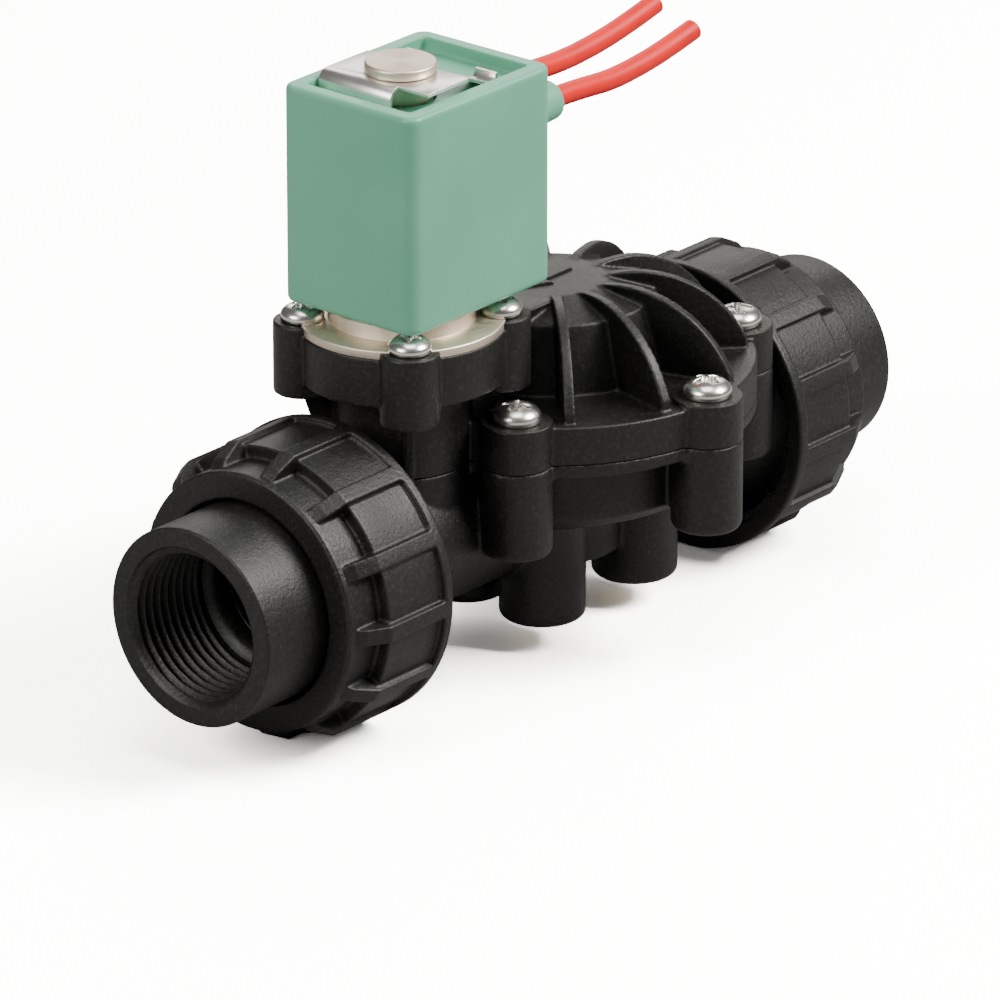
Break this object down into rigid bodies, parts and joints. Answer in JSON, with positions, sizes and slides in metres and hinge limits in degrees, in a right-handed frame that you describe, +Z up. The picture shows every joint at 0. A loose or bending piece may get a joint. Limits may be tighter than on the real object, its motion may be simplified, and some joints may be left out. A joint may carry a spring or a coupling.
{
  "type": "solenoid valve",
  "caption": "Plastic pilot-operated diaphragm solenoid valve with a ribbed bonnet, a green coil with two leads, and a union nut and threaded tailpiece at each end.",
  "frame": {"origin": "centre of the four mounting feet, on the plane of their threaded inserts", "axes": "+X along the flow axis towards the inlet, +Z up towards the coil, +Y completes the right-hand set"},
  "size_m": [0.16, 0.0778, 0.1065],
  "materials": {
    "black_plastic": "glass-filled black plastic, satin, faintly mottled",
    "green_moulding": "moulded green epoxy, satin",
    "stainless": "turned stainless steel, lightly brushed",
    "zinc_screw": "bright plated pan-head screw",
    "spring_steel": "bright spring steel",
    "brass": "machined brass",
    "core_iron": "plain magnetic steel",
    "rubber": "moulded black rubber",
    "engineering_plastic": "natural engineering plastic",
    "copper": "enamelled copper wire",
    "red_insulation": "red lead insulation, satin"
  },
  "bodies": {
    "body": {"valve_body": "black_plastic", "bonnet": "black_plastic", "bonnet_screws": "zinc_screw", "tower_screws": "zinc_screw", "bonnet_screw_inserts": "brass", "mounting_foot_inserts": "brass", "pilot_seat_insert": "stainless", "solenoid_base": "stainless", "base_gasket": "rubber", "core_tube": "stainless", "fixed_core": "stainless", "shading_ring": "copper", "inlet_union_seal": "rubber", "outlet_union_seal": "rubber", "plunger_spring": "spring_steel", "diaphragm_spring": "spring_steel", "diaphragm": "rubber"},
    "inlet_tail": {"inlet_tailpiece": "black_plastic"},
    "inlet_nut": {"inlet_union_nut": "black_plastic"},
    "outlet_tail": {"outlet_tailpiece": "black_plastic"},
    "outlet_nut": {"outlet_union_nut": "black_plastic"},
    "coil": {"coil_housing": "green_moulding", "coil_yoke": "core_iron", "coil_bobbin": "engineering_plastic", "coil_winding": "copper", "retaining_clip": "spring_steel", "front_lead": "red_insulation", "rear_lead": "red_insulation", "front_lead_root": "red_insulation", "rear_lead_root": "red_insulation"},
    "plunger": {"plunger": "core_iron", "plunger_seal": "rubber"},
    "diaphragm_group": {"diaphragm_support": "engineering_plastic", "diaphragm_retainer": "engineering_plastic", "diaphragm_push_nut": "stainless"}
  },
  "joints": [
    {"name": "inlet_union_slide", "type": "slide", "parent": "body", "child": "inlet_tail", "axis": [1, 0, 0], "range_m": [0, 0.009]},
    {"name": "inlet_nut_turn", "type": "hinge", "parent": "inlet_tail", "child": "inlet_nut", "pos_m": [0.0452, 0, 0.0213], "axis": [1, 0, 0], "range_deg": [0, 1079]},
    {"name": "outlet_union_slide", "type": "slide", "parent": "body", "child": "outlet_tail", "axis": [-1, 0, 0], "range_m": [0, 0.009]},
    {"name": "outlet_nut_turn", "type": "hinge", "parent": "outlet_tail", "child": "outlet_nut", "pos_m": [-0.0648, 0, 0.0213], "axis": [-1, 0, 0], "range_deg": [0, 1079]},
    {"name": "coil_swivel", "type": "hinge", "parent": "body", "child": "coil", "pos_m": [-0.0377, 0, 0.0813], "axis": [0, 0, 1], "continuous": true},
    {"name": "plunger_lift", "type": "slide", "parent": "body", "child": "plunger", "axis": [0, 0, 1], "range_m": [0, 0.0016], "stiffness_N_per_m": 250, "springref_m": -0.004, "deforming": ["plunger_spring"]},
    {"name": "diaphragm_lift", "type": "slide", "parent": "body", "child": "diaphragm_group", "axis": [0, 0, 1], "range_m": [0, 0.0035], "stiffness_N_per_m": 400, "springref_m": -0.004, "deforming": ["diaphragm_spring", "diaphragm"]}
  ],
  "couplings": [
    {"joint": "inlet_union_slide", "follows": "inlet_nut_turn", "m_per_rad": 0.00047746},
    {"joint": "outlet_union_slide", "follows": "outlet_nut_turn", "m_per_rad": 0.00047746}
  ]
}
